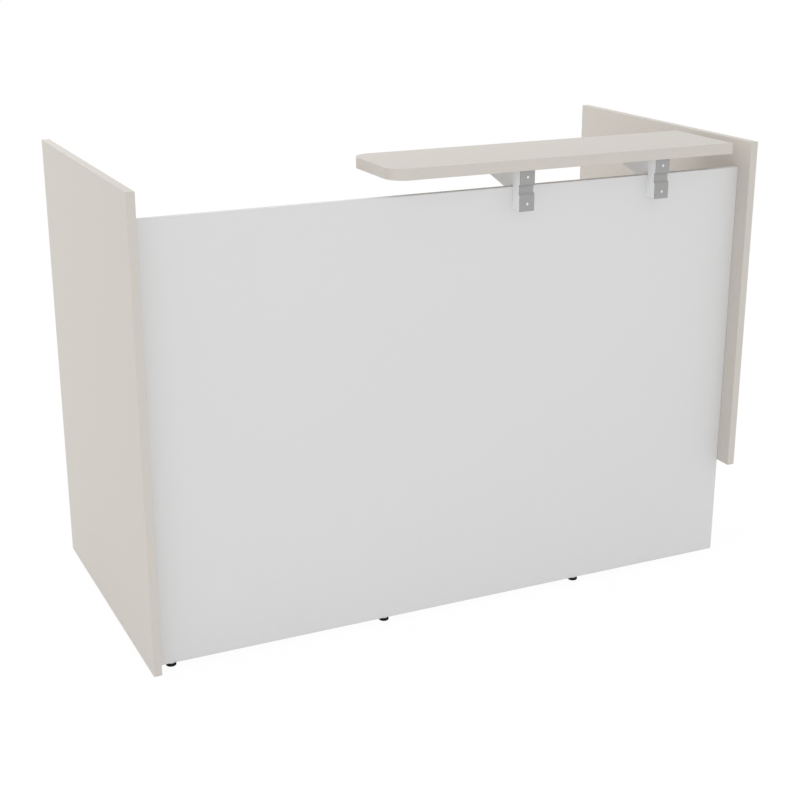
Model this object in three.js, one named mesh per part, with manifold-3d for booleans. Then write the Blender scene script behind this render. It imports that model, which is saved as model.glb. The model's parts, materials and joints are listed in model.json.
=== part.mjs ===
// A panel-built reception desk: boards, a counter shelf on steel consoles, levelling feet and
// cam fittings. Millimetres, +Z up, the visitor stands on the -Y side. The origin is on the floor,
// in the middle of the desk's box.

import * as THREE from 'three';
import { mergeVertices } from 'three/addons/utils/BufferGeometryUtils.js';
import Module from 'manifold-3d';

const wasm = await Module();
wasm.setup();

// Side panels
const innerWidth = 1600;
const sideThickness = 20;
const sideDepth = 808;
const sideHeight = 1142;
const sideOverhang = 48;
const rightPanelLift = 266;

// Front panel
const frontThickness = 18;
const frontDrop = 70;

// Worktop and its support panel
const worktopThickness = 25;
const worktopTop = 740;
const worktopRearSetback = 42;
const supportThickness = 18;
const supportRearSetback = 60;
const bayWidth = 390;

// Rounded arris of the banded board edges
const arris = 1;

// Counter shelf
const shelfThickness = 27;
const shelfLength = 948;
const shelfDepth = 245;
const shelfOverhang = 41;
const shelfEndGap = 53;
const shelfCornerRadius = 40;

// Shelf consoles, folded from steel sheet
const consoleWidth = 40;
const consoleSpacing = 385;
const consoleEndInset = 206;
const consoleDrop = 53.5;
const consoleSheet = 3;
const armWidth = 31;
const armHook = 15.5;
const armTipHeight = 17;
const armRearInset = 14;

// Strap plates on the fronts of the consoles
const strapSheet = 2;
const strapSetback = 6;
const strapUpperTab = 35;
const strapBeadHeight = 23;
const strapBeadDepth = 5.5;
const strapBeadRun = 3;
const strapBeadNotch = 0.8;

// Screws of the straps and of the shelf
const screwRadius = 2.25;
const screwHeadRadius = 3.6;
const screwHeadHeight = 2.4;
const screwCrownRadius = 2.2;
const screwRim = 0.8;
const strapScrewInset = 16;
const strapScrewBite = 12;
const shelfScrewInset = 40;
const shelfScrewBite = 16;

// Levelling feet
const footHeight = 8;
const padRadius = 12.5;
const padBevel = 1.6;
const stemRadius = 4;
const stemLength = 28;
const insertWall = 2;
const insertFlange = 1.5;
const insertFlangeRadius = 9;
const frontFootCount = 3;
const frontFootInset = 38;
const supportFootInset = 60;

// Side-mounted carriers of the left panel's feet
const carrierReach = 16;
const carrierInset = 90;
const carrierPlate = 4;
const carrierPlateWidth = 46;
const carrierBossWall = 5;
const carrierHeadroom = 6;

// Cam fittings between the boards
const camRadius = 7.5;
const camCover = 4;
const camReach = 34;
const camSlotWidth = 1.4;
const camSlotLength = 9;
const camSlotDepth = 2;
const boltRadius = 3;
const boltHeadRadius = 2.6;
const boltNeckRadius = 1.8;
const boltHeadLength = 2.6;
const boltAnchor = 11;
const camInsetHigh = 150;
const camInsetDeep = 110;
const camInsetWide = 300;

// Clearances
const fitGap = 0.3;

// Smoothness of round pieces
const roundSteps = 16;
const smallSteps = 10;

// Levels and edges worked out from the sizes, in a frame with X = 0 on the left panel's inner face
// and Y = 0 on the front panel's face
const boardBottom = footHeight;
const sideTop = footHeight + sideHeight;
const sideFront = -sideOverhang;
const sideRear = sideDepth - sideOverhang;
const rightBottom = boardBottom + rightPanelLift;
const frontTop = sideTop - frontDrop;
const worktopBottom = worktopTop - worktopThickness;
const worktopRear = sideRear - worktopRearSetback;
const supportRight = innerWidth - bayWidth;
const supportLeft = supportRight - supportThickness;
const supportRear = worktopRear - supportRearSetback;
const shelfBottom = sideTop - shelfThickness;
const shelfFront = -shelfOverhang;
const shelfRear = shelfFront + shelfDepth;
const shelfRight = innerWidth - shelfEndGap;
const shelfLeft = shelfRight - shelfLength;
const armRear = shelfRear - armRearInset;
const strapFront = shelfFront + strapSetback;
const strapBottom = frontTop - consoleDrop;
const padHeight = footHeight - insertFlange;
const boreRadius = stemRadius + fitGap;
const insertRadius = boreRadius + insertWall;
const insertLength = stemLength + insertFlange;

// Finishes
const greige = { color: 0xd2cbc3, roughness: 0.55, metalness: 0 };
const white = { color: 0xf2f2f2, roughness: 0.5, metalness: 0 };
const whiteSteel = { color: 0xf0f0f0, roughness: 0.4, metalness: 0.1 };
const silver = { color: 0xa6a7a8, roughness: 0.4, metalness: 0.7 };
const zinc = { color: 0xc4c6c8, roughness: 0.35, metalness: 0.9 };
const black = { color: 0x151515, roughness: 0.6, metalness: 0 };

const desk = new THREE.Group();
desk.name = 'reception_desk';
desk.position.set(-innerWidth / 2, -(sideFront + sideRear) / 2, 0);

// Adds one named piece to a group
function addPiece(name, geometry, finish, parent = desk) {
  const mesh = new THREE.Mesh(geometry, new THREE.MeshStandardMaterial(finish));
  mesh.name = name;
  parent.add(mesh);
  return mesh;
}

// A solid for joining and cutting, from a closed geometry
function solidOf(geometry) {
  const bare = geometry.clone();
  bare.deleteAttribute('normal');
  bare.deleteAttribute('uv');
  const merged = mergeVertices(bare, 1e-4);
  const corners = merged.index.array;
  const triangles = [];
  for (let i = 0; i < corners.length; i += 3) {
    const [a, b, c] = [corners[i], corners[i + 1], corners[i + 2]];
    if (a !== b && b !== c && c !== a) triangles.push(a, b, c);
  }
  return new wasm.Manifold(new wasm.Mesh({
    numProp: 3,
    vertProperties: new Float32Array(merged.attributes.position.array),
    triVerts: new Uint32Array(triangles),
  }));
}

function geometryOf(solid) {
  const mesh = solid.getMesh();
  const geometry = new THREE.BufferGeometry();
  geometry.setAttribute('position', new THREE.BufferAttribute(new Float32Array(mesh.vertProperties), 3));
  geometry.setIndex(new THREE.BufferAttribute(new Uint32Array(mesh.triVerts), 1));
  geometry.computeVertexNormals();
  return geometry;
}

function joined(...geometries) {
  return geometryOf(geometries.map(solidOf).reduce((whole, part) => whole.add(part)));
}

function cut(geometry, cutters) {
  return geometryOf(cutters.map(solidOf).reduce((rest, cutter) => rest.subtract(cutter), solidOf(geometry)));
}

// A closed outline through points, given as pairs
function outline(points) {
  return new THREE.Shape(points.map(([a, b]) => new THREE.Vector2(a, b)));
}

function rectangle(a0, b0, a1, b1) {
  return outline([[a0, b0], [a1, b0], [a1, b1], [a0, b1]]);
}

// The axes of an outline and of its extrusion: an outline drawn in (y, z) runs along x, and so on
const frames = {
  x: [[0, 1, 0], [0, 0, 1], [1, 0, 0]],
  y: [[0, 0, 1], [1, 0, 0], [0, 1, 0]],
  z: [[1, 0, 0], [0, 1, 0], [0, 0, 1]],
};

// Extrudes an outline along an axis from one place to another, with its arrises rounded
function extruded(axis, shape, from, to, round = 0) {
  const geometry = new THREE.ExtrudeGeometry(shape, {
    depth: to - from - 2 * round,
    curveSegments: 10,
    bevelEnabled: round > 0,
    bevelThickness: round,
    bevelSize: round,
    bevelOffset: -round,
    bevelSegments: 2,
  });
  geometry.translate(0, 0, from + round);
  const basis = new THREE.Matrix4().makeBasis(...frames[axis].map((v) => new THREE.Vector3(...v)));
  return geometry.applyMatrix4(basis);
}

// A revolved piece about the Z axis, from (radius, height) pairs
function turned(profile, steps) {
  const points = profile.map(([radius, height]) => new THREE.Vector2(radius, height));
  return new THREE.LatheGeometry(points, steps).rotateX(Math.PI / 2);
}

// Turns a shape made along +Z to a direction and puts its foot at a place
function aimed(geometry, direction, place) {
  const turn = new THREE.Quaternion().setFromUnitVectors(new THREE.Vector3(0, 0, 1), direction);
  return geometry.applyQuaternion(turn).translate(place.x, place.y, place.z);
}

// A round cutter of a length, from a place along a direction
function drill(radius, length, direction, place, steps = smallSteps) {
  const rod = new THREE.CylinderGeometry(radius, radius, length, steps);
  return aimed(rod.rotateX(Math.PI / 2).translate(0, 0, length / 2), direction, place);
}

const left = new THREE.Vector3(-1, 0, 0);
const right = new THREE.Vector3(1, 0, 0);
const back = new THREE.Vector3(0, 1, 0);
const up = new THREE.Vector3(0, 0, 1);
const down = new THREE.Vector3(0, 0, -1);

// Holes that the fittings ask for, gathered for each board
const holes = {
  left_side_panel: [],
  right_side_panel: [],
  front_panel: [],
  worktop: [],
  support_panel: [],
  counter_shelf: [],
};

// Cam fittings: a bolt in one board's face is drawn into a cam in the edge of the other board
const camJoints = [];
for (const [side, facing, x, into, low] of [
  ['left', 'left_side_panel', 0, right, boardBottom],
  ['right', 'right_side_panel', innerWidth, left, rightBottom],
]) {
  for (const [level, z] of [['lower', low + camInsetHigh], ['upper', frontTop - camInsetHigh]]) {
    const edge = new THREE.Vector3(x, frontThickness / 2, z);
    camJoints.push({
      name: `front_${side}_${level}`, board: 'front_panel', facing, edge, into, face: back,
      thickness: frontThickness,
    });
  }
  for (const [level, y] of [['front', frontThickness + camInsetDeep], ['rear', worktopRear - camInsetDeep]]) {
    const edge = new THREE.Vector3(x, y, worktopTop - worktopThickness / 2);
    camJoints.push({
      name: `worktop_${side}_${level}`, board: 'worktop', facing, edge, into, face: down,
      thickness: worktopThickness,
    });
  }
}
for (const [side, x] of [['left', camInsetWide], ['right', innerWidth - camInsetWide]]) {
  const edge = new THREE.Vector3(x, frontThickness, worktopTop - worktopThickness / 2);
  camJoints.push({
    name: `worktop_front_${side}`, board: 'worktop', facing: 'front_panel', edge, into: back, face: down,
    thickness: worktopThickness,
  });
}
const supportMiddle = (supportLeft + supportRight) / 2;
for (const [level, y] of [['front', frontThickness + camInsetDeep], ['rear', supportRear - camInsetDeep]]) {
  const edge = new THREE.Vector3(supportMiddle, y, worktopBottom);
  camJoints.push({
    name: `support_top_${level}`, board: 'support_panel', facing: 'worktop', edge, into: down, face: right,
    thickness: supportThickness,
  });
}
camJoints.push({
  name: 'support_front',
  board: 'support_panel',
  facing: 'front_panel',
  edge: new THREE.Vector3(supportMiddle, frontThickness, boardBottom + camInsetHigh),
  into: back,
  face: right,
  thickness: supportThickness,
});

// The bolt's profile: anchor in the facing board, shank, neck and the head that the cam catches
const boltProfile = [
  [0, -boltAnchor],
  [boltNeckRadius, -boltAnchor],
  [boltRadius, -boltAnchor + boltRadius - boltNeckRadius],
  [boltRadius, camReach - camRadius],
  [boltNeckRadius, camReach - camRadius],
  [boltNeckRadius, camReach - boltHeadLength],
  [boltHeadRadius, camReach - boltHeadLength],
  [boltHeadRadius, camReach],
  [0, camReach],
];

for (const joint of camJoints) {
  const camDepth = joint.thickness / 2 + camCover;
  const centre = joint.edge.clone().addScaledVector(joint.into, camReach);
  const faceCentre = centre.clone().addScaledVector(joint.face, joint.thickness / 2);
  const inward = joint.face.clone().negate();
  const outward = joint.into.clone().negate();

  const slots = [joint.into, joint.into.clone().cross(joint.face)].map((along) => {
    const bar = new THREE.BoxGeometry(camSlotWidth, 2 * camSlotDepth, camSlotLength);
    const across = new THREE.Matrix4().makeBasis(joint.face.clone().cross(along), joint.face, along);
    return bar.applyMatrix4(across).translate(faceCentre.x, faceCentre.y, faceCentre.z);
  });
  const mouthRadius = boltHeadRadius + fitGap;
  const mouthBottom = centre.clone().addScaledVector(joint.into, mouthRadius);
  const mouth = drill(mouthRadius, camRadius + 2 * mouthRadius, outward, mouthBottom);
  const disc = drill(camRadius, camDepth, inward, faceCentre, roundSteps);
  addPiece(`cam_${joint.name}`, cut(disc, [...slots, mouth]), zinc);

  addPiece(`cam_bolt_${joint.name}`, aimed(turned(boltProfile, smallSteps), joint.into, joint.edge), zinc);

  const proud = faceCentre.clone().addScaledVector(joint.face, camCover);
  const anchorEnd = joint.edge.clone().addScaledVector(joint.into, -boltAnchor - fitGap);
  const beforeEdge = joint.edge.clone().addScaledVector(outward, camRadius);
  holes[joint.board].push(
    drill(camRadius + fitGap, camCover + camDepth + fitGap, inward, proud, roundSteps),
    drill(boltRadius + fitGap, camReach + camRadius, joint.into, beforeEdge),
  );
  holes[joint.facing].push(drill(boltRadius + fitGap, boltAnchor + 2 * fitGap, joint.into, anchorEnd));
}

// Levelling feet: a pad and stem that screw in and out of an insert or a side-mounted carrier
const footProfile = [
  [0, 0],
  [padRadius - padBevel, 0],
  [padRadius, padBevel],
  [padRadius, padHeight - padBevel],
  [padRadius - padBevel, padHeight],
  [stemRadius, padHeight],
  [stemRadius, padHeight + stemLength],
  [0, padHeight + stemLength],
];
const insertProfile = [
  [boreRadius, padHeight],
  [insertFlangeRadius, padHeight],
  [insertFlangeRadius, boardBottom],
  [insertRadius, boardBottom],
  [insertRadius, padHeight + insertLength],
  [boreRadius, padHeight + insertLength],
  [boreRadius, padHeight],
];

function addFoot(name, x, y) {
  addPiece(`foot_${name}`, turned(footProfile, roundSteps).translate(x, y, 0), black);
}

function addBoardFoot(name, board, x, y) {
  addFoot(name, x, y);
  addPiece(`foot_insert_${name}`, turned(insertProfile, roundSteps).translate(x, y, 0), zinc);
  const start = new THREE.Vector3(x, y, 0);
  holes[board].push(drill(insertRadius + fitGap, padHeight + insertLength + fitGap, up, start, roundSteps));
}

const frontFootPitch = (supportLeft - 2 * frontFootInset) / (frontFootCount - 1);
for (let i = 0; i < frontFootCount; i += 1) {
  addBoardFoot(`front_${i + 1}`, 'front_panel', frontFootInset + i * frontFootPitch, frontThickness / 2);
}
addBoardFoot('support_front', 'support_panel', supportMiddle, frontThickness + supportFootInset);
addBoardFoot('support_rear', 'support_panel', supportMiddle, supportRear - supportFootInset);

// The carriers stand against the left panel's inner face, so the left feet hide behind it
const bossRadius = boreRadius + carrierBossWall;
const carrierHeight = stemLength + carrierHeadroom;
const carrierTop = padHeight + carrierHeight;
for (const [name, y] of [
  ['left_front', frontThickness + carrierInset],
  ['left_rear', sideRear - carrierInset],
]) {
  addFoot(name, carrierReach, y);
  const plate = rectangle(0, y - carrierPlateWidth / 2, carrierPlate, y + carrierPlateWidth / 2);
  const boss = new THREE.Shape();
  boss.moveTo(0, y - bossRadius);
  boss.lineTo(carrierReach, y - bossRadius);
  boss.absarc(carrierReach, y, bossRadius, -Math.PI / 2, Math.PI / 2, false);
  boss.lineTo(0, y + bossRadius);
  const body = joined(
    extruded('z', plate, padHeight, carrierTop),
    extruded('z', boss, padHeight, carrierTop - carrierHeadroom / 2),
  );
  const floorPoint = new THREE.Vector3(carrierReach, y, 0);
  const bore = drill(boreRadius, carrierHeight + padHeight, up, floorPoint, roundSteps);
  addPiece(`foot_carrier_${name}`, cut(body, [bore]), black);
}

// Shelf consoles, each in a group of its own with X = 0 on the console's middle
const strapRear = strapFront + strapSheet;
const beadTop = shelfBottom - strapUpperTab;
const beadBottom = beadTop - strapBeadHeight;

// How far a bend moves up or down for each millimetre that a face lies behind the strap's front
const bendShift = (Math.hypot(strapBeadRun, strapBeadDepth) - strapBeadRun) / strapBeadDepth;

// The front of a strap or of the console behind it, from the top down, set back by a distance
function beadedFace(setback) {
  const y = strapFront + setback;
  const top = beadTop + setback * bendShift;
  const bottom = beadBottom - setback * bendShift;
  return [
    [y, shelfBottom],
    [y, top],
    [y + strapBeadDepth, top - strapBeadRun],
    [y + strapBeadDepth, bottom + strapBeadRun],
    [y, bottom],
    [y, strapBottom],
  ];
}

function consoleBody() {
  const half = consoleWidth / 2;
  const armHalf = armWidth / 2;
  const rootBottom = frontTop - armHook;
  const tipBottom = shelfBottom - armTipHeight;
  const ceiling = shelfBottom - consoleSheet;

  const boxOutline = outline([...beadedFace(strapSheet), [0, strapBottom], [0, shelfBottom]]);
  const box = extruded('x', boxOutline, -half, half);
  const boxFace = beadedFace(strapSheet + consoleSheet).slice(1, -1);
  const boxInner = outline([
    [strapRear + consoleSheet, ceiling],
    ...boxFace,
    [strapRear + consoleSheet, strapBottom + consoleSheet],
    [fitGap, strapBottom + consoleSheet],
    [fitGap, ceiling],
  ]);
  const boxHollow = extruded('x', boxInner, -half + consoleSheet, half - consoleSheet);

  const armFront = strapRear + strapBeadDepth + consoleSheet;
  const armOutline = outline([
    [armFront, shelfBottom],
    [armFront, frontTop],
    [frontThickness, frontTop],
    [frontThickness, rootBottom],
    [armRear, tipBottom],
    [armRear, shelfBottom],
  ]);
  const arm = extruded('x', armOutline, -armHalf, armHalf);
  const armInner = rectangle(armFront - consoleSheet, strapBottom, armRear - consoleSheet, ceiling);
  const armHollow = extruded('x', armInner, -armHalf + consoleSheet, armHalf - consoleSheet);

  const shell = joined(cut(box, [boxHollow]), cut(arm, [armHollow]));
  return cut(shell, [...strapScrewHoles(), ...shelfScrewHoles(consoleSheet)]);
}

const strapScrewLevels = { upper: shelfBottom - strapScrewInset, lower: strapBottom + strapScrewInset };
const shelfScrewPlaces = { front: frontThickness + shelfScrewInset, rear: armRear - shelfScrewInset };

function strapScrewHoles() {
  return Object.values(strapScrewLevels).map((z) => {
    const start = new THREE.Vector3(0, strapFront - strapSheet, z);
    return drill(screwRadius + fitGap, 2 * strapSheet + consoleSheet + strapBeadDepth, back, start);
  });
}

// Holes for the shelf screws from below the console's roof to a depth above its underside
function shelfScrewHoles(depth) {
  return Object.values(shelfScrewPlaces).map((y) => {
    const start = new THREE.Vector3(0, y, shelfBottom - 2 * consoleSheet);
    return drill(screwRadius + fitGap, 2 * consoleSheet + depth, up, start);
  });
}

function strapPlate() {
  const rearFace = beadedFace(strapSheet).reverse();
  const half = consoleWidth / 2;
  const sheet = extruded('x', outline([...beadedFace(0), ...rearFace]), -half, half);
  const notchOutline = rectangle(
    strapFront - strapSheet, beadBottom + strapBeadRun,
    strapRear + 2 * strapBeadDepth, beadTop - strapBeadRun,
  );
  const notches = [-half - strapBeadNotch, half - strapBeadNotch].map((x) => (
    extruded('x', notchOutline, x, x + 2 * strapBeadNotch)
  ));
  return cut(sheet, [...notches, ...strapScrewHoles()]);
}

// A pan-head screw along +Z, with its head below Z = 0
function screw(length) {
  return turned([
    [0, -screwHeadHeight],
    [screwCrownRadius, -screwHeadHeight],
    [screwHeadRadius, -screwRim],
    [screwHeadRadius, 0],
    [screwRadius, 0],
    [screwRadius, length - screwRadius],
    [0, length],
  ], smallSteps);
}

const consoleMiddles = {
  left: shelfRight - consoleEndInset - consoleSpacing,
  right: shelfRight - consoleEndInset,
};
for (const [side, x] of Object.entries(consoleMiddles)) {
  const group = new THREE.Group();
  group.position.x = x;
  desk.add(group);
  addPiece(`console_${side}`, consoleBody(), whiteSteel, group);
  addPiece(`strap_plate_${side}`, strapPlate(), silver, group);

  const lengths = { upper: strapSheet + consoleSheet + strapScrewBite, lower: -strapFront + strapScrewBite };
  for (const [level, z] of Object.entries(strapScrewLevels)) {
    const seat = new THREE.Vector3(0, strapFront, z);
    addPiece(`strap_screw_${side}_${level}`, aimed(screw(lengths[level]), back, seat), zinc, group);
  }
  for (const [place, y] of Object.entries(shelfScrewPlaces)) {
    const seat = new THREE.Vector3(0, y, shelfBottom - consoleSheet);
    const piece = aimed(screw(consoleSheet + shelfScrewBite), up, seat);
    addPiece(`shelf_screw_${side}_${place}`, piece, zinc, group);
  }

  const pilot = new THREE.Vector3(x, -fitGap, strapScrewLevels.lower);
  holes.front_panel.push(drill(screwRadius + fitGap, strapScrewBite + 2 * fitGap, back, pilot));
  for (const hole of shelfScrewHoles(shelfScrewBite + fitGap)) {
    holes.counter_shelf.push(hole.translate(x, 0, 0));
  }
}

// Boards, with the holes that their fittings asked for
function addBoard(name, geometry, finish) {
  addPiece(name, cut(geometry, holes[name]), finish);
}

const leftOutline = rectangle(sideFront, boardBottom, sideRear, sideTop);
addBoard('left_side_panel', extruded('x', leftOutline, -sideThickness, 0, arris), greige);

const rightOutline = rectangle(sideFront, rightBottom, sideRear, sideTop);
const rightFace = innerWidth + sideThickness;
addBoard('right_side_panel', extruded('x', rightOutline, innerWidth, rightFace, arris), greige);

const frontOutline = rectangle(boardBottom, 0, frontTop, innerWidth);
addBoard('front_panel', extruded('y', frontOutline, 0, frontThickness, arris), white);

const worktopOutline = rectangle(0, frontThickness, innerWidth, worktopRear);
addBoard('worktop', extruded('z', worktopOutline, worktopBottom, worktopTop, arris), greige);

const supportOutline = rectangle(frontThickness, boardBottom, supportRear, worktopBottom);
addBoard('support_panel', extruded('x', supportOutline, supportLeft, supportRight, arris), greige);

// The shelf's two left corners are round, and its right end is square
const cornerX = shelfLeft + shelfCornerRadius;
const quarterTurn = Math.PI / 2;
const shelfOutline = new THREE.Shape();
shelfOutline.moveTo(shelfRight, shelfFront);
shelfOutline.lineTo(shelfRight, shelfRear);
for (const [turn, cornerY] of [
  [1, shelfRear - shelfCornerRadius],
  [2, shelfFront + shelfCornerRadius],
]) {
  shelfOutline.absarc(cornerX, cornerY, shelfCornerRadius, turn * quarterTurn, (turn + 1) * quarterTurn);
}
addBoard('counter_shelf', extruded('z', shelfOutline, shelfBottom, sideTop, arris), greige);

export default desk;
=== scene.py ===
"""Looks of a panel-built reception desk, laid out as a Blender add-on.

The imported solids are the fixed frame. Each operator makes one kind of piece around them, in metres.
"""

import json
import math

import bmesh
import bpy
from bpy.props import FloatProperty, FloatVectorProperty, IntProperty, PointerProperty
from mathutils import Color, Matrix, Vector

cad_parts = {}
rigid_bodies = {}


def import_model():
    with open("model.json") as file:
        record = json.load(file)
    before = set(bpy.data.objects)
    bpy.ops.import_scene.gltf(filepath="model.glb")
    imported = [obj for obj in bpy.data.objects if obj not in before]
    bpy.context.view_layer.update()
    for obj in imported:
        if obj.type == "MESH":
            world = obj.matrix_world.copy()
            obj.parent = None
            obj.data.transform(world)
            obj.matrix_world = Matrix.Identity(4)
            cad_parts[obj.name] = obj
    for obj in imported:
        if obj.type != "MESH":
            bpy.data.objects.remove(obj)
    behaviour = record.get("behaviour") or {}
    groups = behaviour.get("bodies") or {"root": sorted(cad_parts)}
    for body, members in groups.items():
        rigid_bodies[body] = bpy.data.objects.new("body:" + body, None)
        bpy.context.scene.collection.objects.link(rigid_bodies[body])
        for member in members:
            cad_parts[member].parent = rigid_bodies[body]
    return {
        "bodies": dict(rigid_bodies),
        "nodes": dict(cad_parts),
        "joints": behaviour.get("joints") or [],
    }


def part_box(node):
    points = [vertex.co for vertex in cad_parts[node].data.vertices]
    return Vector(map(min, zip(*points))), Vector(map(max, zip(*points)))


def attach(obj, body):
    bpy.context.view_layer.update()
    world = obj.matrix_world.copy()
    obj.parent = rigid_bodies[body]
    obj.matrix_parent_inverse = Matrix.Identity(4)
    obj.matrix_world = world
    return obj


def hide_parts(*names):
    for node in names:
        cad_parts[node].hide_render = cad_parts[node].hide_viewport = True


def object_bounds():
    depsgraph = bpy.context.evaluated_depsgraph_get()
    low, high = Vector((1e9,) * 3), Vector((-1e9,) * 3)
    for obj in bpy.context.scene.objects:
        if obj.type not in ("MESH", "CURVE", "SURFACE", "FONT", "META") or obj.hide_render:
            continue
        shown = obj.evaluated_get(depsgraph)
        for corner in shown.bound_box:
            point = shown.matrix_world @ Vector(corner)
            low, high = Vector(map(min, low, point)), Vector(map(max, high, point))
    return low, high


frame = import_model()
CAD_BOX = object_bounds()

bl_info = {
    "name": "Reception Desk",
    "version": (1, 0, 0),
    "blender": (4, 5, 0),
    "location": "3D View > Sidebar > Desk",
    "description": "Makes the boards, fittings and feet of a panel-built reception desk",
    "category": "Object",
}

X, Y, Z = 0, 1, 2
DESK = "desk"
FULL_TURN = 2 * math.pi
QUARTER_TURN = math.pi / 2

# Limits of the mesh work: doubles that merge, edges to round, edges that shade sharp, flat faces that join
MERGE = 1e-6
SHARP = math.radians(40)
SMOOTH = math.radians(32)
FLAT = math.radians(1)

# Grain of the finishes: the broad drift and its share, the fine grain's octaves, and the relief
DRIFT_SCALE = 4.0
DRIFT_SHARE = 0.3
GRAIN_DETAIL = 3.0
BUMP_STRENGTH = 0.4

# Facets of round shapes
CORNER_STEPS = 20
DOME_STEPS = 5
BEND_STEPS = 4
ROUND_STEPS = 3
RIM_STEPS = 2
CAM_SIDES = 48
INSERT_SIDES = 40
ROD_SIDES = 32
STEM_SIDES = 24
HOLE_SIDES = 24
TRIANGLE = 3

# How a shape's faces are told apart: the part of the normal along Z, and the part of a bead's depth
BROAD = 0.5
UPRIGHT = 0.01
SET_BACK = 0.9

# A unit square as a grid takes it, the cells of a cross, and a drill's length over the plate it goes through
UNIT_HALF = 0.5
CROSS_CELLS = 3
DRILL_REACH = 4

# A board's materials, in the order of its slots
FACE, BAND, RAW = 0, 1, 2

# The six boards: the axis that each one's thickness lies along, and its finish
BOARDS = {
    "left_side_panel": (X, "greige_board"),
    "right_side_panel": (X, "greige_board"),
    "front_panel": (Y, "white_board"),
    "worktop": (Z, "greige_board"),
    "support_panel": (X, "greige_board"),
    "counter_shelf": (Z, "greige_board"),
}
ROUND_ENDED = "counter_shelf"
SIDES = ("left", "right")
LAMPS = ("left", "front", "rear")


def length(name, description, default):
    """A length in metres that a user can change."""
    return FloatProperty(name=name, description=description, default=default, precision=5, unit="LENGTH")


def share(name, description, default):
    """A plain number that a user can change."""
    return FloatProperty(name=name, description=description, default=default, precision=4)


def angle(name, description, degrees):
    """An angle that a user can change."""
    return FloatProperty(name=name, description=description, default=math.radians(degrees), subtype="ANGLE")


def power(name, description, default):
    """A lamp's power in watts."""
    return FloatProperty(name=name, description=description, default=default, unit="POWER")


def point(name, description, default):
    """A place in the desk's frame."""
    return FloatVectorProperty(
        name=name, description=description, default=default, precision=5,
        subtype="TRANSLATION", unit="LENGTH",
    )


def paint(name, description, default):
    """A colour as it is read on a screen."""
    return FloatVectorProperty(
        name=name, description=description, default=default, min=0.0, max=1.0, subtype="COLOR_GAMMA",
    )


class DeskBoardSettings(bpy.types.PropertyGroup):
    """Sizes and colours of the boards."""

    band: length("Edge band", "Thickness of the glued edge band", 0.002)
    seam_width: length("Seam width", "Width of the glue line between band and face", 0.0005)
    seam_depth: length("Seam depth", "Depth of the glue line", 0.0002)
    arris: length("Arris", "Radius of the scraped board edges", 0.001)
    corner: length("Shelf corner", "Radius of the shelf's two round corners", 0.048)
    greige: paint("Greige", "Colour of the side panels, worktop and shelf", (0.803, 0.781, 0.753))
    white: paint("White", "Colour of the front panel", (0.862, 0.862, 0.863))
    greige_sheen: share("Greige band sheen", "Specular level of the greige edge bands", 0.5)
    white_sheen: share("White band sheen", "Specular level of the white edge band", 0.12)
    chip: paint("Chipboard", "Colour of the raw core in the drilled holes", (0.66, 0.54, 0.40))


class DeskFittingSettings(bpy.types.PropertyGroup):
    """Sizes and colour of the cam fittings and threaded inserts."""

    gap: length("Fit gap", "Clearance round a fitting in its hole", 0.0003)
    rim: length("Rim", "Rounded rim of a turned fitting", 0.0005)
    slot_width: length("Slot width", "Width of a cam's cross slot", 0.0014)
    slot_length: length("Slot length", "Length of a cam's cross slot", 0.009)
    slot_depth: length("Slot depth", "Depth of a cam's cross slot", 0.002)
    mark: length("Mark", "Size of the notch that points to the bolt", 0.001)
    mouth: length("Cam mouth", "Radius of the hole where a cam takes its bolt", 0.0029)
    insert_body: length("Insert body", "Radius of an insert below its flange", 0.0063)
    insert_flange: length("Insert flange", "Thickness of an insert's flange", 0.0015)
    bore: length("Insert bore", "Radius of an insert's bore", 0.0043)
    zinc: paint("Zinc", "Colour of plated fittings and screws", (0.92, 0.925, 0.93))
    cast: paint("Cast zinc", "Colour of the cams", (0.70, 0.705, 0.71))


class DeskConsoleSettings(bpy.types.PropertyGroup):
    """Sizes and colours of the shelf consoles and their strap plates."""

    fold: length("Fold", "Radius of the consoles' folded edges", 0.0008)
    fold_least: length("Shortest fold", "Edges shorter than this stay sharp", 0.006)
    sheet: length("Strap sheet", "Thickness of a strap plate", 0.002)
    tab: length("Upper tab", "Height of a strap's flat above its bead", 0.034)
    bead: length("Bead height", "Height of a strap's set-back middle", 0.025)
    bead_depth: length("Bead depth", "How far a strap's middle is set back", 0.0055)
    bead_run: length("Bead run", "Height of each slope of a strap's bead", 0.005)
    notch: length("Notch", "How much narrower a strap is at its bead", 0.0008)
    bend: length("Bend", "Length of a rounded bend of a strap", 0.003)
    lip: length("Lip", "How far a strap reaches below its console", 0.0019)
    edge: length("Strap edge", "Rounding of a strap's cut edges", 0.00025)
    coat: paint("Powder coat", "Colour of the consoles", (0.936, 0.942, 0.949))
    steel: paint("Satin steel", "Colour of the strap plates", (0.645, 0.644, 0.642))


class DeskScrewSettings(bpy.types.PropertyGroup):
    """Sizes of the pan-head screws."""

    head: length("Head radius", "Radius of a screw's head", 0.0036)
    head_height: length("Head height", "Height of a screw's head", 0.0024)
    crown: length("Crown radius", "Radius of the flat on a screw's head", 0.0022)
    rim: length("Head rim", "Height of the upright rim of a screw's head", 0.0008)
    shank: length("Shank radius", "Radius over a screw's thread", 0.00225)
    pitch: length("Thread pitch", "Distance between two ridges of a screw's thread", 0.0018)
    thread: length("Thread depth", "Depth of a screw's thread", 0.0005)
    recess_width: length("Recess width", "Width of the cross recess", 0.0007)
    recess_length: length("Recess length", "Length of the cross recess", 0.003)
    recess_depth: length("Recess depth", "Depth of the cross recess", 0.001)
    carrier_bite: length("Carrier screw", "Length of a carrier screw in its board", 0.014)
    carrier_inset: length("Carrier screw inset", "From a carrier's edge to its screw", 0.0068)


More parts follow.
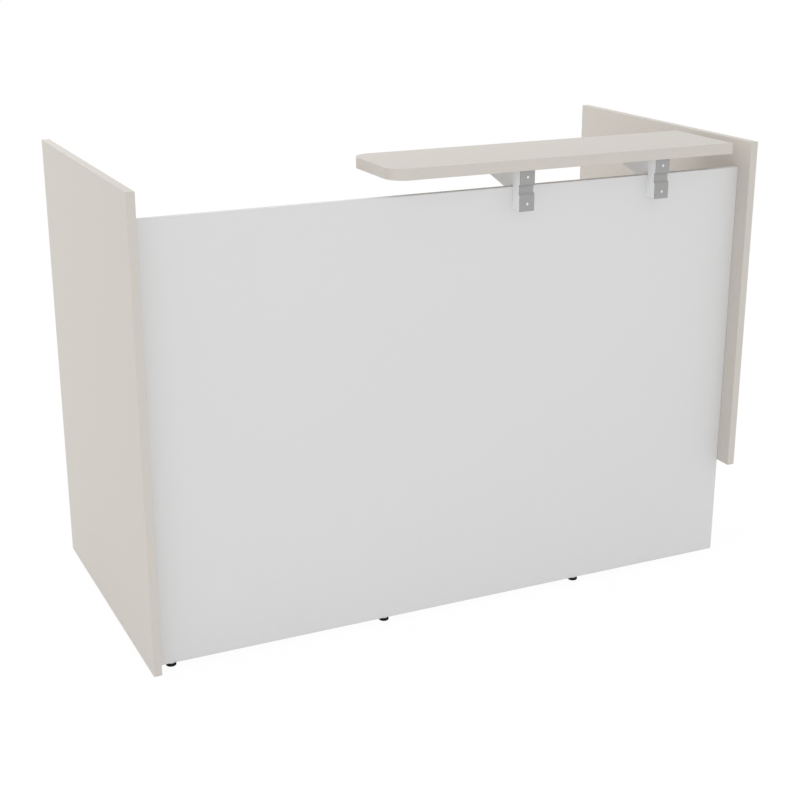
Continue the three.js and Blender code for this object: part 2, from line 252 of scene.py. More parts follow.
class DeskFootSettings(bpy.types.PropertyGroup):
    """Sizes and colour of the levelling feet."""

    pad: length("Pad height", "Height of a foot's pad", 0.0065)
    pad_round: length("Pad rounding", "Rounding of a pad's rims", 0.0014)
    collar: length("Collar radius", "Radius of the collar on top of a pad", 0.0075)
    collar_rise: length("Collar rise", "Height of the collar above the pad's rim", 0.0012)
    flute: length("Flute depth", "Depth of the grip flutes on a pad", 0.0005)
    flutes: IntProperty(name="Flutes", description="Grip flutes round a pad", default=24, min=8)
    stem: length("Stem radius", "Radius over a stem's thread", 0.004)
    pitch: length("Thread pitch", "Distance between two ridges of a stem's thread", 0.00125)
    thread: length("Thread depth", "Depth of a stem's thread", 0.0006)
    carrier_round: length("Carrier rounding", "Rounding of a carrier's moulded edges", 0.0006)
    carrier_least: length("Shortest carrier edge", "A carrier's edges shorter than this stay sharp", 0.0048)
    carrier_plate: length("Carrier plate", "Thickness of a carrier's plate", 0.004)
    black: paint("Black plastic", "Colour of pads and carriers", (0.04, 0.04, 0.042))


class DeskStageSettings(bpy.types.PropertyGroup):
    """Camera, floor and light."""

    place: point("Camera", "Place of the camera", (-1.60562, -3.42778, 1.72075))
    tilt: angle("Tilt", "How far the camera looks down", 18.5269)
    swing: angle("Swing", "How far the camera looks right", 25.1622)
    lens: FloatProperty(
        name="Lens", description="Focal length on a 36 mm sensor", default=66.531, subtype="DISTANCE_CAMERA",
    )
    floor: length("Floor", "Side of the square floor", 60.0)
    pale: share("Floor colour", "Grey of the floor under the light", 0.9)
    backdrop: share("Backdrop", "Share of plain white that the camera sees on the floor", 0.94)
    ambient: share("Ambient", "Strength of the light from all round", 0.84)
    lamp_size: length("Softbox size", "Side of each square softbox", 2.5)
    left_lamp: point("Left softbox", "Place of the softbox on the left", (-5.5, 0.0, 2.5))
    left_power: power("Left power", "Power of the softbox on the left", 26.0)
    front_lamp: point("Front softbox", "Place of the softbox in front", (-1.0, -5.0, 0.8))
    front_power: power("Front power", "Power of the softbox in front", 36.0)
    rear_lamp: point("Rear softbox", "Place of the softbox behind", (-0.6, 1.8, 2.6))
    rear_power: power("Rear power", "Power of the softbox behind", 24.0)


class DeskSettings(bpy.types.PropertyGroup):
    """All settings of the desk."""

    boards: PointerProperty(type=DeskBoardSettings)
    fittings: PointerProperty(type=DeskFittingSettings)
    consoles: PointerProperty(type=DeskConsoleSettings)
    screws: PointerProperty(type=DeskScrewSettings)
    feet: PointerProperty(type=DeskFootSettings)
    stage: PointerProperty(type=DeskStageSettings)


# Finishes


def linear(colour, factor=1.0):
    """A screen colour as a shader socket takes it, lightened or darkened by a factor."""
    return (*(min(1.0, factor * c) for c in Color(colour).from_srgb_to_scene_linear()), 1.0)


def grained(name, colour, rough, grain, contrast, relief, stretch=(1, 1, 1), metallic=0.0, specular=0.5):
    """A finish with a fine grain and a broad drift, in the object's own space.

    Its colour and gloss follow both, and its relief follows the grain alone.
    """
    material = bpy.data.materials.new(name)
    material.use_nodes = True
    nodes = material.node_tree.nodes
    links = material.node_tree.links
    shader = nodes["Principled BSDF"]
    shader.inputs["Metallic"].default_value = metallic
    shader.inputs["Specular IOR Level"].default_value = specular

    place = nodes.new("ShaderNodeTexCoord")
    mapping = nodes.new("ShaderNodeMapping")
    mapping.inputs["Scale"].default_value = stretch
    links.new(place.outputs["Object"], mapping.inputs["Vector"])
    fine = nodes.new("ShaderNodeTexNoise")
    fine.inputs["Scale"].default_value = grain
    fine.inputs["Detail"].default_value = GRAIN_DETAIL
    links.new(mapping.outputs["Vector"], fine.inputs["Vector"])
    broad = nodes.new("ShaderNodeTexNoise")
    broad.inputs["Scale"].default_value = DRIFT_SCALE
    links.new(place.outputs["Object"], broad.inputs["Vector"])
    both = nodes.new("ShaderNodeMix")
    both.inputs["Factor"].default_value = DRIFT_SHARE
    links.new(fine.outputs["Fac"], both.inputs["A"])
    links.new(broad.outputs["Fac"], both.inputs["B"])

    tint = nodes.new("ShaderNodeMix")
    tint.data_type = "RGBA"
    tint.inputs["A"].default_value = linear(colour, 1 - contrast)
    tint.inputs["B"].default_value = linear(colour, 1 + contrast)
    links.new(both.outputs["Result"], tint.inputs["Factor"])
    links.new(tint.outputs["Result"], shader.inputs["Base Color"])

    shine = nodes.new("ShaderNodeMapRange")
    shine.inputs["To Min"].default_value = rough[0]
    shine.inputs["To Max"].default_value = rough[1]
    links.new(both.outputs["Result"], shine.inputs["Value"])
    links.new(shine.outputs["Result"], shader.inputs["Roughness"])

    bump = nodes.new("ShaderNodeBump")
    bump.inputs["Strength"].default_value = BUMP_STRENGTH
    bump.inputs["Distance"].default_value = relief
    links.new(fine.outputs["Fac"], bump.inputs["Height"])
    links.new(bump.outputs["Normal"], shader.inputs["Normal"])
    return material


def finish(name, make, *values):
    """A finish by its name, made once."""
    return bpy.data.materials.get(name) or make(name, *values)


def laminate(name, colour):
    """Melamine-faced board with a fine pearl emboss."""
    return grained(name, colour, rough=(0.46, 0.58), grain=1100.0, contrast=0.016, relief=0.00008)


def edge_band(name, colour, sheen):
    """Extruded edge band: smoother than the face."""
    return grained(
        name, colour, rough=(0.38, 0.46), grain=420.0, contrast=0.008, relief=0.00001, specular=sheen,
    )


def chipboard(name, colour):
    """Raw particle board in a drilled hole."""
    return grained(name, colour, rough=(0.8, 0.95), grain=520.0, contrast=0.35, relief=0.0002)


def powder_coat(name, colour):
    """Powder coat with a fine orange peel."""
    return grained(name, colour, rough=(0.34, 0.42), grain=620.0, contrast=0.01, relief=0.00004)


def satin_steel(name, colour):
    """Dull plated steel sheet, brushed up and down."""
    return grained(
        name, colour, rough=(0.46, 0.6), grain=900.0, contrast=0.06, relief=0.00001,
        stretch=(1, 1, 0.03), metallic=0.45,
    )


def zinc_plate(name, colour):
    """Bright zinc plating with a faint mottle."""
    return grained(
        name, colour, rough=(0.24, 0.36), grain=700.0, contrast=0.06, relief=0.00001, metallic=1.0,
    )


def cast_zinc(name, colour):
    """Die-cast zinc, duller than the plating and with a sandy skin."""
    return grained(
        name, colour, rough=(0.42, 0.58), grain=1500.0, contrast=0.12, relief=0.00004, metallic=1.0,
    )


def moulded_plastic(name, colour):
    """Spark-eroded black plastic with little sheen."""
    return grained(
        name, colour, rough=(0.55, 0.7), grain=1600.0, contrast=0.12, relief=0.00003, specular=0.18,
    )


# Shapes


def across(axis):
    """The two axes that follow an axis of the frame, in turn."""
    return (Y, Z, X)[axis], (Z, X, Y)[axis]


def along(axis, sign=1.0):
    """The direction of an axis of the frame."""
    direction = Vector((0, 0, 0))
    direction[axis] = sign
    return direction


def facing(axis):
    """A turn that lays local Z along an axis of the frame, and local X and Y along the next two."""
    return Matrix([along(each) for each in (*across(axis), axis)]).transposed().to_4x4()


def middle(node):
    """The centre of a node's box."""
    low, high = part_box(node)
    return (low + high) / 2


def odd_axis(size):
    """The axis along which a round piece's box differs from the other two."""
    common = sorted(size)[1]
    return max((X, Y, Z), key=lambda axis: abs(size[axis] - common))


def nodes_named(*starts):
    """The names of the nodes that start with one of these words."""
    return sorted(name for name in frame["nodes"] if name.startswith(starts))


def turned(profile, segments, closed=False):
    """A solid of revolution about Z from (radius, height) pairs."""
    bm = bmesh.new()
    verts = [bm.verts.new((radius, 0, height)) for radius, height in profile]
    ends = verts[1:] + verts[:1] if closed else verts[1:]
    edges = [bm.edges.new(pair) for pair in zip(verts, ends)]
    bmesh.ops.spin(
        bm, geom=verts + edges, axis=(0, 0, 1), cent=(0, 0, 0),
        angle=FULL_TURN, steps=segments, use_merge=True,
    )
    bmesh.ops.remove_doubles(bm, verts=bm.verts, dist=MERGE)
    bmesh.ops.recalc_face_normals(bm, faces=bm.faces)
    return bm


def sharp_edges(bm, least=0.0):
    """The convex edges of a shape that are sharp and longer than a length."""
    return [
        e for e in bm.edges
        if e.is_manifold and e.calc_face_angle_signed() > SHARP and e.calc_length() > least
    ]


def rounded(bm, edges, radius, segments=ROUND_STEPS):
    """Rounds edges of a shape."""
    bmesh.ops.bevel(
        bm, geom=edges, offset=radius, offset_type="OFFSET", segments=segments, profile=0.5,
        affect="EDGES", clamp_overlap=True, material=-1,
    )


def ridged(radius, depth, pitch, low, high):
    """The (radius, height) pairs of a thread's ridges between two heights."""
    pairs = []
    for turn in range(int((high - low) / pitch)):
        foot = low + turn * pitch
        pairs += [(radius - depth, foot), (radius, foot + pitch / 2)]
    return pairs + [(radius - depth, high)]


def merged_copy(node):
    """A node's shape as one closed mesh with whole faces."""
    bm = bmesh.new()
    bm.from_mesh(frame["nodes"][node].data)
    bmesh.ops.remove_doubles(bm, verts=bm.verts, dist=MERGE)
    bmesh.ops.dissolve_limit(bm, angle_limit=FLAT, verts=bm.verts, edges=bm.edges)
    return bm


def add_rod(bm, radius, rod_length, place, turn, segments=ROD_SIDES):
    """Adds a round bar, centred on a place, with local Z turned as given."""
    bmesh.ops.create_cone(
        bm, cap_ends=True, segments=segments, radius1=radius, radius2=radius, depth=rod_length,
        matrix=Matrix.Translation(place) @ turn,
    )


def thicken(bm, depth):
    """Makes a flat shape a solid, half of its depth on each side."""
    grown = bmesh.ops.extrude_face_region(bm, geom=bm.faces[:])["geom"]
    top = [v for v in grown if isinstance(v, bmesh.types.BMVert)]
    bmesh.ops.translate(bm, vec=(0, 0, depth), verts=top)
    bmesh.ops.translate(bm, vec=(0, 0, -depth / 2), verts=bm.verts)
    bmesh.ops.recalc_face_normals(bm, faces=bm.faces)


def cross_bar(span, width, depth):
    """A bar with the section of a cross, centred on the origin."""
    bm = bmesh.new()
    bmesh.ops.create_grid(bm, x_segments=CROSS_CELLS, y_segments=CROSS_CELLS, size=span / 2)
    for vert in bm.verts:
        for axis in (X, Y):
            if abs(vert.co[axis]) < span / CROSS_CELLS:
                vert.co[axis] = math.copysign(width / 2, vert.co[axis])
    corners = [f for f in bm.faces if min(map(abs, f.calc_center_median().xy)) > width / 2]
    bmesh.ops.delete(bm, geom=corners, context="FACES")
    thicken(bm, depth)
    return bm


def cut_away(bm, cutter, materials=()):
    """What is left of one shape when another is cut from it. Both shapes are used up."""
    workpieces = []
    for shape in (bm, cutter):
        mesh = bpy.data.meshes.new("workpiece")
        shape.to_mesh(mesh)
        shape.free()
        for material in materials:
            mesh.materials.append(material)
        workpiece = bpy.data.objects.new("workpiece", mesh)
        bpy.context.scene.collection.objects.link(workpiece)
        workpieces.append(workpiece)
    modifier = workpieces[0].modifiers.new("cut", "BOOLEAN")
    modifier.operation = "DIFFERENCE"
    modifier.solver = "EXACT"
    modifier.object = workpieces[1]
    rest = bmesh.new()
    rest.from_object(workpieces[0], bpy.context.evaluated_depsgraph_get())
    for workpiece in workpieces:
        bpy.data.meshes.remove(workpiece.data)
    if not rest.faces:
        raise RuntimeError("Nothing is left of a shape after a cut")
    return rest


def add_piece(name, bm, materials, body, replaced=None):
    """Makes a shape an object that rides on a body, and that may stand for a node."""
    mesh = bpy.data.meshes.new(name)
    bm.to_mesh(mesh)
    bm.free()
    for material in materials:
        mesh.materials.append(material)
    mesh.shade_smooth()
    mesh.set_sharp_from_angle(angle=SMOOTH)
    piece = bpy.data.objects.new(name, mesh)
    piece.modifiers.new("flat_faces", "WEIGHTED_NORMAL").keep_sharp = True
    bpy.context.scene.collection.objects.link(piece)
    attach(piece, body)
    if replaced:
        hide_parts(replaced)
    return piece


def dress(node, material):
    """Gives a node that stays in view a finish."""
    slots = frame["nodes"][node].data.materials
    slots.clear()
    slots.append(material)


def banded_board(node, axis, settings):
    """A board with its edge band, the glue line round each face, and rounded arrises."""
    low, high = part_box(node)
    size = high - low
    bm = bmesh.new()
    bmesh.ops.create_grid(bm, x_segments=1, y_segments=1, size=UNIT_HALF)
    width, height = across(axis)
    bmesh.ops.scale(bm, vec=(size[width], size[height], 1), verts=bm.verts)
    if node == ROUND_ENDED:
        corners = [v for v in bm.verts if v.co.x < 0]
        bmesh.ops.bevel(
            bm, geom=corners, offset=settings.corner, offset_type="OFFSET",
            segments=CORNER_STEPS, profile=0.5, affect="VERTICES", material=-1,
        )
    thicken(bm, size[axis])

    broad = [f for f in bm.faces if abs(f.normal.z) > BROAD]
    for face in bm.faces:
        face.material_index = BAND
    half_seam = settings.seam_width / 2
    depth = settings.seam_depth
    for face in broad:
        for inset, rise in ((settings.band, 0), (half_seam, -depth), (half_seam, depth)):
            bmesh.ops.inset_region(bm, faces=[face], thickness=inset, depth=rise, use_even_offset=True)
        face.material_index = FACE
    rounded(bm, sharp_edges(bm), settings.arris)
    bm.transform(Matrix.Translation((low + high) / 2) @ facing(axis))
    return bm


def board_bores(node, settings):
    """Round cutters for the fittings that are let into a board."""
    low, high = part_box(node)
    bm = bmesh.new()
    for fitting in nodes_named("cam_", "foot_insert_"):
        near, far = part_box(fitting)
        if any(near[axis] > high[axis] or far[axis] < low[axis] for axis in (X, Y, Z)):
            continue
        size = far - near
        axis = odd_axis(size)
        radius = size[across(axis)[0]] / 2
        if fitting.startswith("foot_insert_"):
            radius = settings.insert_body
        add_rod(bm, radius + settings.gap, size[axis] + 2 * settings.gap, (near + far) / 2, facing(axis))
    for face in bm.faces:
        face.material_index = RAW
    return bm


def cam_shape(radius, thickness, bolt_level, settings):
    """A cam disc with its slotted face on local Z = 0, and its bolt's mark and mouth on local +X."""
    bm = bmesh.new()
    add_rod(bm, radius, thickness, (0, 0, -thickness / 2), Matrix.Identity(4), CAM_SIDES)
    rounded(bm, sharp_edges(bm), settings.rim)
    cutter = cross_bar(settings.slot_length, settings.slot_width, 2 * settings.slot_depth)
    mark = settings.mark
    mark_place = Matrix.Translation((radius - 2 * mark, 0, 0))
    bmesh.ops.create_cone(
        cutter, cap_ends=True, segments=TRIANGLE, radius1=mark, radius2=mark, depth=mark,
        matrix=mark_place @ Matrix.Rotation(-QUARTER_TURN, 4, "Z"),
    )
    mouth_length = radius + 2 * settings.mouth
    add_rod(cutter, settings.mouth, mouth_length, (radius / 2, 0, bolt_level), facing(X), HOLE_SIDES)
    return cut_away(bm, cutter)


def screw_shape(shank_length, settings):
    """A pan-head screw along local +Z with the seat of its head at Z = 0."""
    thread_end = shank_length - settings.shank
    dome = []
    for step in range(DOME_STEPS + 1):
        lean = QUARTER_TURN * step / DOME_STEPS
        radius = settings.crown + (settings.head - settings.crown) * math.sin(lean)
        dome.append((radius, -settings.rim - (settings.head_height - settings.rim) * math.cos(lean)))
    bm = turned([
        (0, -settings.head_height),
        *dome,
        (settings.head, 0),
        *ridged(settings.shank, settings.thread, settings.pitch, 0, thread_end),
        (0, shank_length),
    ], ROD_SIDES)
    recess = cross_bar(settings.recess_length, settings.recess_width, 2 * settings.recess_depth)
    bmesh.ops.translate(recess, vec=(0, 0, -settings.head_height), verts=recess.verts)
    return cut_away(bm, recess)


def strap_shape(node, settings):
    """A strap plate: a sheet with two flat ends and a set-back, slightly narrower middle."""
    low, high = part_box(node)
    depth = settings.bead_depth
    bead_top = high.z - settings.tab
    bead_bottom = bead_top - settings.bead
    bm = bmesh.new()
    rail = [bm.verts.new((low.x, y, z)) for y, z in (
        (low.y, high.z),
        (low.y, bead_top),
        (low.y + depth, bead_top - settings.bead_run),
        (low.y + depth, bead_bottom + settings.bead_run),
        (low.y, bead_bottom),
        (low.y, low.z - settings.lip),
    )]
    edges = [bm.edges.new(pair) for pair in zip(rail, rail[1:])]
    for step in (settings.notch, high.x - low.x - 2 * settings.notch, settings.notch):
        grown = bmesh.ops.extrude_edge_only(bm, edges=edges)["geom"]
        edges = [e for e in grown if isinstance(e, bmesh.types.BMEdge)]
        verts = [v for v in grown if isinstance(v, bmesh.types.BMVert)]
        bmesh.ops.translate(bm, vec=(step, 0, 0), verts=verts)
        edges = [e for e in edges if all(v in verts for v in e.verts)]
    for face in [f for f in bm.faces if f.calc_center_median().y > low.y + SET_BACK * depth]:
        if abs(face.calc_center_median().x - (low.x + high.x) / 2) > settings.notch:
            bm.faces.remove(face)
    bends = [e for e in bm.edges if len(e.link_faces) == 2 and e.calc_face_angle() > SHARP / 2]
    rounded(bm, bends, settings.bend, BEND_STEPS)
    bmesh.ops.recalc_face_normals(bm, faces=bm.faces)
    if sum(f.normal.y for f in bm.faces) > 0:
        bmesh.ops.reverse_faces(bm, faces=bm.faces)
    bmesh.ops.solidify(bm, geom=bm.faces[:], thickness=settings.sheet)
    return bm


# Operators


class DESK_OT_boards(bpy.types.Operator):
    """Makes the six banded boards"""

    bl_idname = "desk.boards"
    bl_label = "Boards"

    def execute(self, context):
        settings = context.scene.desk.boards
        colours = {"greige_board": settings.greige, "white_board": settings.white}
        sheens = {"greige_board": settings.greige_sheen, "white_board": settings.white_sheen}
        raw = finish("chipboard", chipboard, settings.chip)
        for node, (axis, slot) in BOARDS.items():
            face = finish(f"{slot}_face", laminate, colours[slot])
            band = finish(f"{slot}_band", edge_band, colours[slot], sheens[slot])
            board = banded_board(node, axis, settings)
            board = cut_away(board, board_bores(node, context.scene.desk.fittings), (face, band, raw))
            add_piece(f"{node}_banded", board, (face, band, raw), DESK, node)
        return {"FINISHED"}


class DESK_OT_consoles(bpy.types.Operator):
    """Makes the two folded consoles that carry the shelf"""

    bl_idname = "desk.consoles"
    bl_label = "Consoles"

    def execute(self, context):
        settings = context.scene.desk.consoles
        coat = finish("powder_coat", powder_coat, settings.coat)
        for side in SIDES:
            node = f"console_{side}"
            bm = merged_copy(node)
            rounded(bm, sharp_edges(bm, settings.fold_least), settings.fold)
            add_piece(f"{node}_folded", bm, (coat,), DESK, node)
        return {"FINISHED"}


class DESK_OT_straps(bpy.types.Operator):
    """Makes the strap plates on the fronts of the consoles"""

    bl_idname = "desk.straps"
    bl_label = "Strap plates"

    def execute(self, context):
        settings = context.scene.desk.consoles
        screws = context.scene.desk.screws
        gap = context.scene.desk.fittings.gap
        steel = finish("satin_steel", satin_steel, settings.steel)
        for side in SIDES:
            holes = bmesh.new()
            for screw in nodes_named(f"strap_screw_{side}_"):
                low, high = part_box(screw)
                add_rod(holes, screws.shank + gap, high.y - low.y, (low + high) / 2, facing(Y), HOLE_SIDES)
            node = f"strap_plate_{side}"
            bm = cut_away(strap_shape(node, settings), holes)
            rounded(bm, sharp_edges(bm), settings.edge, RIM_STEPS)
            add_piece(f"{node}_pressed", bm, (steel,), DESK, node)
        return {"FINISHED"}


class DESK_OT_screws(bpy.types.Operator):
    """Makes the screws of the straps and of the shelf"""

    bl_idname = "desk.screws"
    bl_label = "Screws"

    def execute(self, context):
        settings = context.scene.desk.screws
        zinc = finish("zinc_plate", zinc_plate, context.scene.desk.fittings.zinc)
        for node in nodes_named("strap_screw_", "shelf_screw_"):
            low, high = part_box(node)
            axis = odd_axis(high - low)
            bm = screw_shape(high[axis] - low[axis] - settings.head_height, settings)
            seat = (low + high) / 2
            seat[axis] = low[axis] + settings.head_height
            bm.transform(Matrix.Translation(seat) @ facing(axis))
            add_piece(f"{node}_cross", bm, (zinc,), DESK, node)
        return {"FINISHED"}


class DESK_OT_cams(bpy.types.Operator):
    """Makes the cams in the boards and gives their bolts a finish"""

    bl_idname = "desk.cams"
    bl_label = "Cam fittings"

    def execute(self, context):
        settings = context.scene.desk.fittings
        zinc = finish("zinc_plate", zinc_plate, settings.zinc)
        cast = finish("cast_zinc", cast_zinc, settings.cast)
        for bolt in nodes_named("cam_bolt_"):
            node = bolt.replace("cam_bolt_", "cam_")
            low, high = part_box(node)
            axis = odd_axis(high - low)
            board = next(b for b in BOARDS if BOARDS[b][0] == axis and self.lies_in(node, b))
            outward = along(axis, math.copysign(1.0, middle(node)[axis] - middle(board)[axis]))
            to_bolt = middle(bolt) - middle(node)
            to_bolt[axis] = 0.0
            to_bolt.normalize()
            turn = Matrix((to_bolt, outward.cross(to_bolt), outward)).transposed().to_4x4()
            thickness = high[axis] - low[axis]
            face = middle(node) + outward * thickness / 2
            radius = (high - low)[across(axis)[0]] / 2
            bm = cam_shape(radius, thickness, outward.dot(middle(bolt) - face), settings)
            bm.transform(Matrix.Translation(face) @ turn)
            add_piece(f"{node}_disc", bm, (cast,), DESK, node)
            dress(bolt, zinc)
        return {"FINISHED"}

    def lies_in(self, node, board):
        """True if a node's centre is inside a board's box."""
        low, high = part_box(board)
        place = middle(node)
        return all(low[axis] < place[axis] < high[axis] for axis in (X, Y, Z))


class DESK_OT_feet(bpy.types.Operator):
    """Makes the levelling feet, their threaded inserts and the side carriers"""

    bl_idname = "desk.feet"
    bl_label = "Levelling feet"

    def execute(self, context):
        settings = context.scene.desk.feet
        fittings = context.scene.desk.fittings
        plastic = finish("moulded_plastic", moulded_plastic, settings.black)
        zinc = finish("zinc_plate", zinc_plate, fittings.zinc)
        for insert in nodes_named("foot_insert_"):
            self.make_insert(insert, zinc, fittings)
        for carrier in nodes_named("foot_carrier_"):
            self.make_carrier(carrier, plastic, zinc, context)
        for body in sorted(frame["bodies"]):
            if body != DESK:
                self.make_foot(body, plastic, zinc, settings)
        return {"FINISHED"}

    def make_foot(self, body, plastic, zinc, settings):
        """A fluted pad, and a threaded stem that rides with it."""
        low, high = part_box(body)
        centre = Matrix.Translation(((low.x + high.x) / 2, (low.y + high.y) / 2, low.z))
        radius = (high.x - low.x) / 2
        rim_top = settings.pad - settings.collar_rise
        bm = turned([
            (0, 0),
            (radius, 0),
            (radius, rim_top),
            (settings.collar, settings.pad),
            (0, settings.pad),
        ], 2 * settings.flutes)
        rims = [e for e in sharp_edges(bm) if e.calc_length() < radius / 2]
        rounded(bm, rims, settings.pad_round)
        side = [f for f in bm.faces if abs(f.normal.z) < UPRIGHT]
        side.sort(key=lambda f: math.atan2(*f.calc_center_median().xy))
        bmesh.ops.inset_individual(bm, faces=side[::2], thickness=settings.flute / 2, depth=-settings.flute)
        bm.transform(centre)
        add_piece(f"{body}_pad", bm, (plastic,), body, body)

        top = high.z - low.z
        stem = turned([
            (0, settings.pad),
            *ridged(settings.stem, settings.thread, settings.pitch, settings.pad, top - settings.thread),
            (settings.stem - 2 * settings.thread, top),
            (0, top),
        ], STEM_SIDES)
        stem.transform(centre)
        add_piece(f"{body}_stem", stem, (zinc,), body)

    def make_insert(self, node, zinc, settings):
        """A flanged insert with its bore."""
        low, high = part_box(node)
        place = Matrix.Translation(((low.x + high.x) / 2, (low.y + high.y) / 2, low.z))
        flange = (high.x - low.x) / 2
        top = high.z - low.z
        bm = turned([
            (settings.bore, 0),
            (flange, 0),
            (flange, settings.insert_flange),
            (settings.insert_body, settings.insert_flange),
            (settings.insert_body, top),
            (settings.bore, top),
        ], INSERT_SIDES, closed=True)
        rounded(bm, sharp_edges(bm), settings.rim, RIM_STEPS)
        bm.transform(place)
        add_piece(f"{node}_flanged", bm, (zinc,), DESK, node)

    def make_carrier(self, node, plastic, zinc, context):
        """A moulded carrier and the two screws that hold it on its board."""
        settings = context.scene.desk.feet
        screws = context.scene.desk.screws
        low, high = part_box(node)
        seat = Vector((low.x + settings.carrier_plate, 0, (low.z + high.z) / 2))
        bm = merged_copy(node)
        rounded(bm, sharp_edges(bm, settings.carrier_least), settings.carrier_round, RIM_STEPS)
        holes = bmesh.new()
        for end, y in (("front", low.y + screws.carrier_inset), ("rear", high.y - screws.carrier_inset)):
            seat.y = y
            add_rod(holes, screws.shank, DRILL_REACH * settings.carrier_plate, seat, facing(X), HOLE_SIDES)
            shape = screw_shape(settings.carrier_plate + screws.carrier_bite, screws)
            shape.transform(Matrix.Translation(seat) @ Matrix.Rotation(-QUARTER_TURN, 4, "Y"))
            add_piece(f"{node}_screw_{end}", shape, (zinc,), DESK)
        bm = cut_away(bm, holes)
        add_piece(f"{node}_moulded", bm, (plastic,), DESK, node)


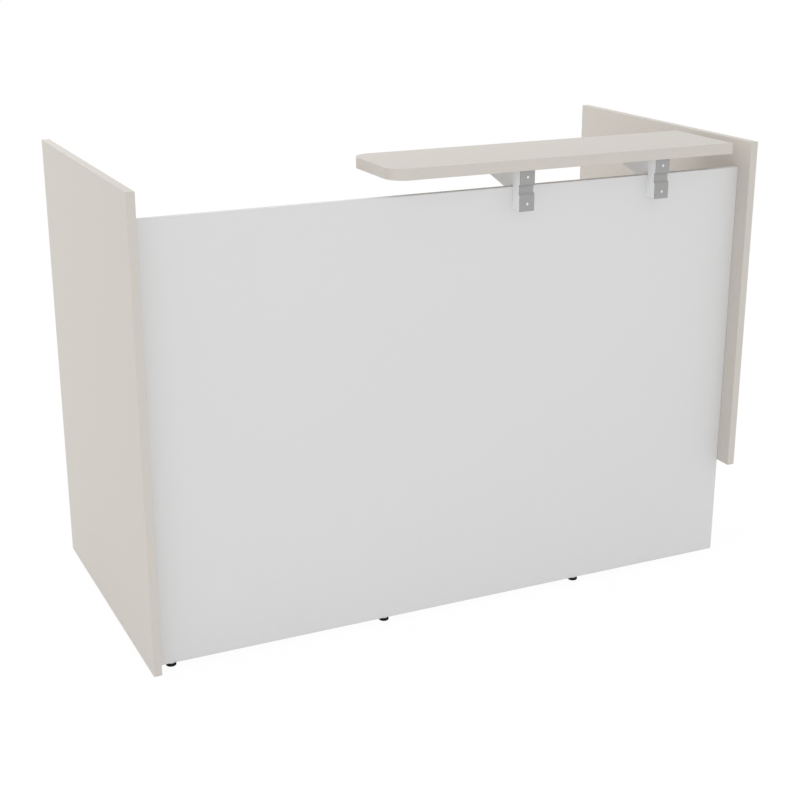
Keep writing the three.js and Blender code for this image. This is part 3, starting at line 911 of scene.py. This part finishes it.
class DESK_OT_stage(bpy.types.Operator):
    """Sets the floor, the light and the camera"""

    bl_idname = "desk.stage"
    bl_label = "Stage"

    def execute(self, context):
        settings = context.scene.desk.stage
        self.make_floor(context, settings)
        self.make_world(context, settings)
        for name in LAMPS:
            self.make_lamp(context, name, settings)
        camera = bpy.data.objects.new("camera", bpy.data.cameras.new("camera"))
        camera.data.lens = settings.lens
        camera.location = settings.place
        camera.rotation_euler = (QUARTER_TURN - settings.tilt, 0, -settings.swing)
        context.scene.collection.objects.link(camera)
        context.scene.camera = camera
        context.scene.view_settings.view_transform = "Standard"
        return {"FINISHED"}

    def seen(self, nodes, links):
        """A value that is 1 for what the camera sees, straight or in a gloss or a glass."""
        path = nodes.new("ShaderNodeLightPath")
        value = path.outputs["Is Camera Ray"]
        for ray in ("Is Glossy Ray", "Is Transmission Ray"):
            either = nodes.new("ShaderNodeMath")
            either.operation = "MAXIMUM"
            links.new(value, either.inputs[0])
            links.new(path.outputs[ray], either.inputs[1])
            value = either.outputs["Value"]
        return value

    def make_floor(self, context, settings):
        """A pale floor that the camera sees nearly white, with the desk's shadow.

        It lies as low as the feet can reach, so that they show when they are screwed out.
        """
        reach = max(joint["range_m"][1] for joint in frame["joints"])
        place = Matrix.Translation((0, 0, -reach))
        bm = bmesh.new()
        bmesh.ops.create_grid(bm, x_segments=1, y_segments=1, size=settings.floor / 2, matrix=place)
        mesh = bpy.data.meshes.new("floor")
        bm.to_mesh(mesh)
        bm.free()
        material = bpy.data.materials.new("floor")
        material.use_nodes = True
        nodes = material.node_tree.nodes
        links = material.node_tree.links
        nodes.clear()
        matt = nodes.new("ShaderNodeBsdfDiffuse")
        matt.inputs["Color"].default_value = (settings.pale, settings.pale, settings.pale, 1.0)
        white = nodes.new("ShaderNodeEmission")
        lit_share = (1 - settings.backdrop) * settings.pale * settings.ambient
        white.inputs["Strength"].default_value = (1 - lit_share) / settings.backdrop
        weight = nodes.new("ShaderNodeMath")
        weight.operation = "MULTIPLY"
        weight.inputs[1].default_value = settings.backdrop
        links.new(self.seen(nodes, links), weight.inputs[0])
        mix = nodes.new("ShaderNodeMixShader")
        links.new(weight.outputs["Value"], mix.inputs["Fac"])
        links.new(matt.outputs["BSDF"], mix.inputs[1])
        links.new(white.outputs["Emission"], mix.inputs[2])
        output = nodes.new("ShaderNodeOutputMaterial")
        links.new(mix.outputs["Shader"], output.inputs["Surface"])
        mesh.materials.append(material)
        floor = bpy.data.objects.new("floor", mesh)
        context.scene.collection.objects.link(floor)

    def make_world(self, context, settings):
        """Even light from all round, and plain white where the camera sees past the floor."""
        world = bpy.data.worlds.new("studio")
        world.use_nodes = True
        nodes = world.node_tree.nodes
        links = world.node_tree.links
        nodes.clear()
        even = nodes.new("ShaderNodeBackground")
        even.inputs["Color"].default_value = (1.0, 1.0, 1.0, 1.0)
        even.inputs["Strength"].default_value = settings.ambient
        white = nodes.new("ShaderNodeBackground")
        white.inputs["Color"].default_value = (1.0, 1.0, 1.0, 1.0)
        mix = nodes.new("ShaderNodeMixShader")
        links.new(self.seen(nodes, links), mix.inputs["Fac"])
        links.new(even.outputs["Background"], mix.inputs[1])
        links.new(white.outputs["Background"], mix.inputs[2])
        output = nodes.new("ShaderNodeOutputWorld")
        links.new(mix.outputs["Shader"], output.inputs["Surface"])
        context.scene.world = world

    def make_lamp(self, context, name, settings):
        """A softbox that is aimed at the middle of the desk and leaves no hot spot on what shines."""
        data = bpy.data.lights.new(f"{name}_softbox", "AREA")
        data.size = settings.lamp_size
        data.energy = getattr(settings, f"{name}_power")
        lamp = bpy.data.objects.new(data.name, data)
        lamp.location = getattr(settings, f"{name}_lamp")
        aim = sum(CAD_BOX, Vector()) / 2 - lamp.location
        lamp.rotation_euler = aim.to_track_quat("-Z", "Y").to_euler()
        lamp.visible_camera = False
        lamp.visible_glossy = False
        context.scene.collection.objects.link(lamp)


class DESK_PT_sidebar(bpy.types.Panel):
    """Lists the desk's operators and settings"""

    bl_idname = "DESK_PT_sidebar"
    bl_label = "Reception desk"
    bl_space_type = "VIEW_3D"
    bl_region_type = "UI"
    bl_category = "Desk"

    def draw(self, context):
        for operator in OPERATORS:
            self.layout.operator(operator.bl_idname)
        for name in DeskSettings.__annotations__:
            group = getattr(context.scene.desk, name)
            box = self.layout.box()
            box.label(text=name.capitalize())
            for setting in group.__annotations__:
                box.prop(group, setting)


OPERATORS = (
    DESK_OT_boards,
    DESK_OT_consoles,
    DESK_OT_straps,
    DESK_OT_screws,
    DESK_OT_cams,
    DESK_OT_feet,
    DESK_OT_stage,
)
SETTINGS = (
    DeskBoardSettings,
    DeskFittingSettings,
    DeskConsoleSettings,
    DeskScrewSettings,
    DeskFootSettings,
    DeskStageSettings,
    DeskSettings,
)
CLASSES = (*SETTINGS, *OPERATORS, DESK_PT_sidebar)


def register():
    """Adds the classes and the settings to Blender."""
    for cls in CLASSES:
        bpy.utils.register_class(cls)
    bpy.types.Scene.desk = PointerProperty(type=DeskSettings)


def unregister():
    """Takes the settings and the classes away again."""
    del bpy.types.Scene.desk
    for cls in reversed(CLASSES):
        bpy.utils.unregister_class(cls)


def main():
    """Makes every piece and the stage."""
    register()
    bpy.ops.desk.boards()
    bpy.ops.desk.consoles()
    bpy.ops.desk.straps()
    bpy.ops.desk.screws()
    bpy.ops.desk.cams()
    bpy.ops.desk.feet()
    bpy.ops.desk.stage()
    bpy.context.view_layer.update()


if __name__ == "__main__":
    main()
